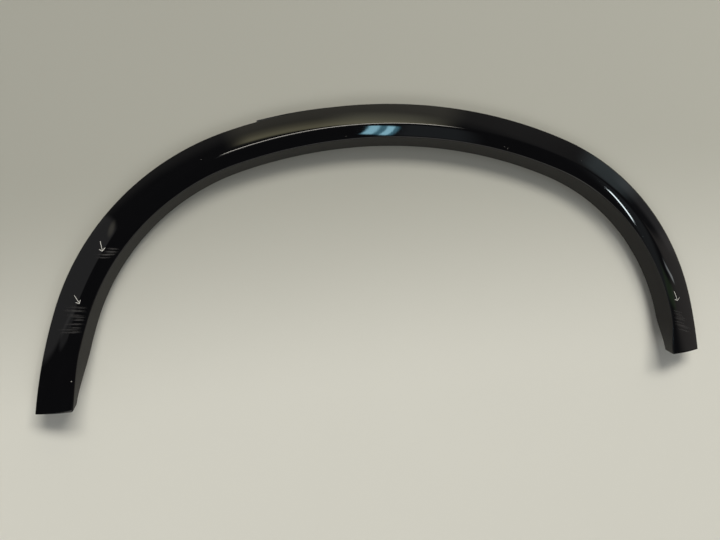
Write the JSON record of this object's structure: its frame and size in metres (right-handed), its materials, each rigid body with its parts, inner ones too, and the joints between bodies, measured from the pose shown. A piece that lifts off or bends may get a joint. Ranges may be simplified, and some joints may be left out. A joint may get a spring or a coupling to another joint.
{
  "type": "wheel arch trim",
  "caption": "Gloss black moulded arch trim with a creased face, an inner lip and push-in clips, which covers the edge of a car's wheel arch.",
  "frame": {"origin": "middle of the outline, on the surface that the trim lies on", "axes": "+X along the car, to the picture's right; +Y up the arch, away from the wheel; +Z out of the body side, up as it lies on its clips"},
  "size_m": [0.8934, 0.3874, 0.044],
  "materials": {
    "gloss_black_plastic": "gloss black face, matt grained lip",
    "clip_nylon": "natural nylon, satin"
  },
  "bodies": {
    "root": {"arch_trim": "gloss_black_plastic", "retaining_clips": "clip_nylon"}
  },
  "joints": []
}
